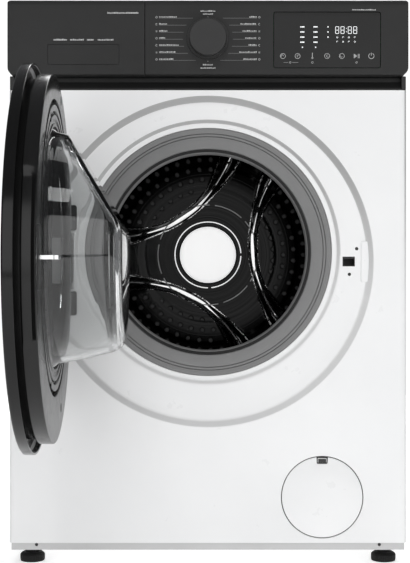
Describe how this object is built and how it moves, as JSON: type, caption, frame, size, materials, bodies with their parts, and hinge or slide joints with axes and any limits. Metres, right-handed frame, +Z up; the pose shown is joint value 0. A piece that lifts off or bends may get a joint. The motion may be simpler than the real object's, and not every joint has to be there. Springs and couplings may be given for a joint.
{
  "type": "front load washing machine",
  "caption": "Free-standing front load washing machine with a round glass door, knob and display fascia, detergent drawer, belt-driven drum and adjustable feet.",
  "frame": {"origin": "floor level under the middle of the machine's footprint, with the door standing open", "axes": "+Z up, -Y towards the user (the front), +X to the right as seen from the front"},
  "size_m": [0.598, 0.9409, 0.85],
  "materials": {
    "white_enamel": "gloss",
    "worktop_board": "gloss",
    "grey_enamel": "satin",
    "zinc": "matte",
    "satin_black": "satin",
    "gloss_black": "gloss",
    "smoked_window": "gloss",
    "board_green": "matte",
    "grey_plastic": "satin",
    "dark_plastic": "matte",
    "grey_rubber": "matte",
    "black_rubber": "matte",
    "bright_steel": "satin",
    "drum_steel": "polished",
    "clear_glass": "polished",
    "tub_plastic": "matte",
    "cast_aluminium": "cast",
    "motor_steel": "satin",
    "concrete": "rough"
  },
  "bodies": {
    "cabinet": {"front_panel": "white_enamel", "side_panel_left": "white_enamel", "side_panel_right": "white_enamel", "rear_panel": "white_enamel", "rear_cover": "zinc", "worktop": "worktop_board", "base_frame": "grey_enamel", "control_fascia": "satin_black", "grip_strip": "satin_black", "display_window": "smoked_window", "control_board": "board_green", "dispenser_housing": "grey_plastic", "inlet_valve": "grey_plastic", "drain_outlet": "dark_plastic", "cord_gland": "dark_plastic", "pump_body": "dark_plastic", "sump_hose": "black_rubber", "door_lock": "dark_plastic", "hinge_bracket": "cast_aluminium", "hinge_pin": "bright_steel", "door_seal": "grey_rubber", "seal_clamp_ring": "bright_steel", "damper_cylinder_left": "dark_plastic", "damper_cylinder_right": "dark_plastic", "suspension_spring_left": "bright_steel", "suspension_spring_right": "bright_steel"},
    "wash_unit": {"tub_front": "tub_plastic", "tub_rear": "tub_plastic", "front_counterweight": "concrete", "top_counterweight": "concrete", "heater": "bright_steel", "bearing_front": "bright_steel", "bearing_rear": "bright_steel", "motor_housing": "motor_steel", "drive_belt": "black_rubber", "damper_rod_left": "bright_steel", "damper_rod_right": "bright_steel"},
    "drum": {"drum_shell": "drum_steel", "lifter_1": "drum_steel", "lifter_2": "drum_steel", "lifter_3": "drum_steel", "hub_cap": "drum_steel", "spider": "cast_aluminium", "drum_shaft": "bright_steel", "drum_pulley": "cast_aluminium"},
    "motor_rotor": {"motor_pulley": "bright_steel"},
    "door": {"door_cover": "gloss_black", "door_frame": "gloss_black", "door_bowl": "clear_glass", "hinge_arm": "cast_aluminium"},
    "latch_hook": {"door_hook": "bright_steel"},
    "drawer": {"drawer_front": "satin_black", "drawer_tray": "grey_plastic"},
    "knob": {"program_knob": "satin_black"},
    "flap": {"filter_flap": "white_enamel"},
    "filter": {"filter_cap": "grey_plastic"},
    "front_left_foot": {"foot_front_left": "dark_plastic"},
    "front_right_foot": {"foot_front_right": "dark_plastic"},
    "rear_left_foot": {"foot_rear_left": "dark_plastic"},
    "rear_right_foot": {"foot_rear_right": "dark_plastic"}
  },
  "joints": [
    {"name": "door_hinge", "type": "hinge", "parent": "cabinet", "child": "door", "pos_m": [-0.231, 0.01245, 0.4557], "axis": [0, 0, -1], "range_deg": [-88.8, 50]},
    {"name": "latch_pivot", "type": "hinge", "parent": "door", "child": "latch_hook", "pos_m": [-0.20173, -0.43004, 0.4557], "axis": [0, 0, -1], "range_deg": [0, 6], "stiffness_Nm_per_rad": 0.5},
    {"name": "tub_bounce", "type": "slide", "parent": "cabinet", "child": "wash_unit", "axis": [0, 0, 1], "range_m": [-0.008, 0.008], "stiffness_N_per_m": 20000, "deforming": ["suspension_spring_left", "suspension_spring_right", "door_seal", "sump_hose"]},
    {"name": "drum_spin", "type": "hinge", "parent": "wash_unit", "child": "drum", "pos_m": [0, 0.39645, 0.4702], "axis": [0, 1, 0], "continuous": true},
    {"name": "motor_spin", "type": "hinge", "parent": "wash_unit", "child": "motor_rotor", "pos_m": [-0.03, 0.39645, 0.1282], "axis": [0, 1, 0], "continuous": true},
    {"name": "drawer_slide", "type": "slide", "parent": "cabinet", "child": "drawer", "axis": [0, -1, 0], "range_m": [0, 0.17]},
    {"name": "knob_turn", "type": "hinge", "parent": "cabinet", "child": "knob", "pos_m": [0, 0.02645, 0.7876], "axis": [0, -1, 0], "continuous": true},
    {"name": "flap_hinge", "type": "hinge", "parent": "cabinet", "child": "flap", "pos_m": [0.1712, 0.03845, 0.0421], "axis": [1, 0, 0], "range_deg": [0, 90]},
    {"name": "filter_turn", "type": "hinge", "parent": "cabinet", "child": "filter", "pos_m": [0.1712, 0.06845, 0.1025], "axis": [0, -1, 0], "range_deg": [0, 90]},
    {"name": "foot_front_left_height", "type": "slide", "parent": "cabinet", "child": "front_left_foot", "axis": [0, 0, -1], "range_m": [-0.006, 0.012]},
    {"name": "foot_front_right_height", "type": "slide", "parent": "cabinet", "child": "front_right_foot", "axis": [0, 0, -1], "range_m": [-0.006, 0.012]},
    {"name": "foot_rear_left_height", "type": "slide", "parent": "cabinet", "child": "rear_left_foot", "axis": [0, 0, -1], "range_m": [-0.006, 0.012]},
    {"name": "foot_rear_right_height", "type": "slide", "parent": "cabinet", "child": "rear_right_foot", "axis": [0, 0, -1], "range_m": [-0.006, 0.012]}
  ],
  "couplings": [
    {"joint": "motor_spin", "follows": "drum_spin", "ratio": 12.727}
  ]
}
